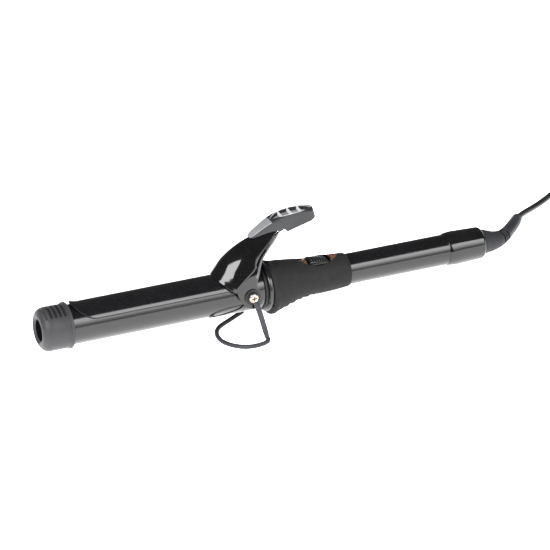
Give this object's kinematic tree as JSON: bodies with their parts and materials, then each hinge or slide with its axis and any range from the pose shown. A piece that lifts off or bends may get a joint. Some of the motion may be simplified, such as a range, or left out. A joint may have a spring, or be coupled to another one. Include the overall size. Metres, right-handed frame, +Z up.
{
  "type": "curling iron",
  "caption": "Electric curling iron with a round barrel, sprung hair clamp, folding wire stand, rocker switch and coiled power cord.",
  "frame": {"origin": "on the table, below the middle of the iron's length as it rests on its stand", "axes": "+X from the cool tip towards the cord, +Y away from the side with the camera, +Z up"},
  "size_m": [0.5406, 0.0933, 0.0902],
  "materials": {
    "tip_grey": "fine matte, heat-safe",
    "insulator": "matte phenolic",
    "insulator_dark": "matte heat-resistant nylon",
    "nickel": "nickel plated",
    "barrel_gloss": "gloss black coated",
    "raw_aluminium": "mill finish",
    "ceramic_stone": "sintered ceramic",
    "contact_metal": "plain",
    "amber_film": "amber polyimide film",
    "sensor_glass": "glass bead",
    "wire_sleeve": "silicone rubber sleeve",
    "neck_gloss": "gloss black",
    "seal_black": "satin black",
    "ring_gloss": "gloss charcoal",
    "clamp_gloss": "gloss black coated",
    "lever_gloss": "gloss black",
    "pad_satin": "satin charcoal",
    "spring_steel": "spring steel",
    "stand_coat": "satin coating over steel wire",
    "grip_rubber": "matte soft touch",
    "panel_bronze": "gloss bronze",
    "rocker_black": "gloss black with silvery ribs",
    "lens_red": "translucent red",
    "board_green": "solder mask",
    "handle_gloss": "gloss black",
    "cap_gloss": "gloss black",
    "relief_satin": "satin black",
    "cord_pvc": "satin black PVC",
    "tie_black": "hook and loop strap",
    "plug_black": "satin black",
    "pin_nickel": "nickel plated brass"
  },
  "bodies": {
    "iron": {"cool_tip": "tip_grey", "tip_plug": "insulator", "tip_screw": "nickel", "barrel": "barrel_gloss", "heater_shell_upper": "raw_aluminium", "heater_shell_lower": "raw_aluminium", "ptc_heater": "ceramic_stone", "electrode_plates": "contact_metal", "insulating_film": "amber_film", "thermal_fuse": "nickel", "temperature_sensor": "sensor_glass", "heater_leads": "wire_sleeve", "sensor_leads": "wire_sleeve", "barrel_holder": "insulator_dark", "neck_sleeve": "neck_gloss", "collar_seal": "seal_black", "collar_ring": "ring_gloss", "clamp_spring": "spring_steel", "pivot_screws": "nickel", "pivot_washers": "seal_black", "grip_sleeve": "grip_rubber", "control_panel": "panel_bronze", "rocker_pin": "spring_steel", "indicator_lens": "lens_red", "circuit_board": "board_green", "switch_body": "insulator_dark", "mains_wires": "wire_sleeve", "handle_tube": "handle_gloss", "holder_screw": "nickel", "end_cap": "cap_gloss", "cap_screw": "nickel", "swivel_bushing": "insulator", "contact_brushes": "contact_metal"},
    "clamp": {"clamp_plate": "clamp_gloss", "clamp_lever": "lever_gloss", "clamp_rivets": "nickel", "thumb_pad": "pad_satin"},
    "stand": {"wire_stand": "stand_coat"},
    "rocker": {"power_rocker": "rocker_black"},
    "swivel": {"swivel_spindle": "insulator_dark", "contact_rings": "contact_metal", "strain_relief": "relief_satin", "power_cord": "cord_pvc", "cord_coil": "cord_pvc", "cord_tail": "cord_pvc", "cord_tie": "tie_black", "plug_body": "plug_black", "plug_pins": "pin_nickel"}
  },
  "joints": [
    {"name": "clamp_hinge", "type": "hinge", "parent": "iron", "child": "clamp", "pos_m": [-0.01813, 0, 0.03773], "axis": [0, 1, 0], "range_deg": [0, 22], "stiffness_Nm_per_rad": 0.26, "springref_deg": -21.77, "deforming": ["clamp_spring"]},
    {"name": "stand_hinge", "type": "hinge", "parent": "iron", "child": "stand", "pos_m": [-0.01813, 0, 0.03773], "axis": [0, 1, 0], "range_deg": [0, 34]},
    {"name": "rocker_tilt", "type": "hinge", "parent": "iron", "child": "rocker", "pos_m": [0.04434, 0, 0.04017], "axis": [0, 1, 0], "range_deg": [-14, 0]},
    {"name": "cord_swivel", "type": "hinge", "parent": "iron", "child": "swivel", "pos_m": [0.18032, 0, 0.0128], "axis": [0.9936, 0, -0.1132], "continuous": true}
  ]
}
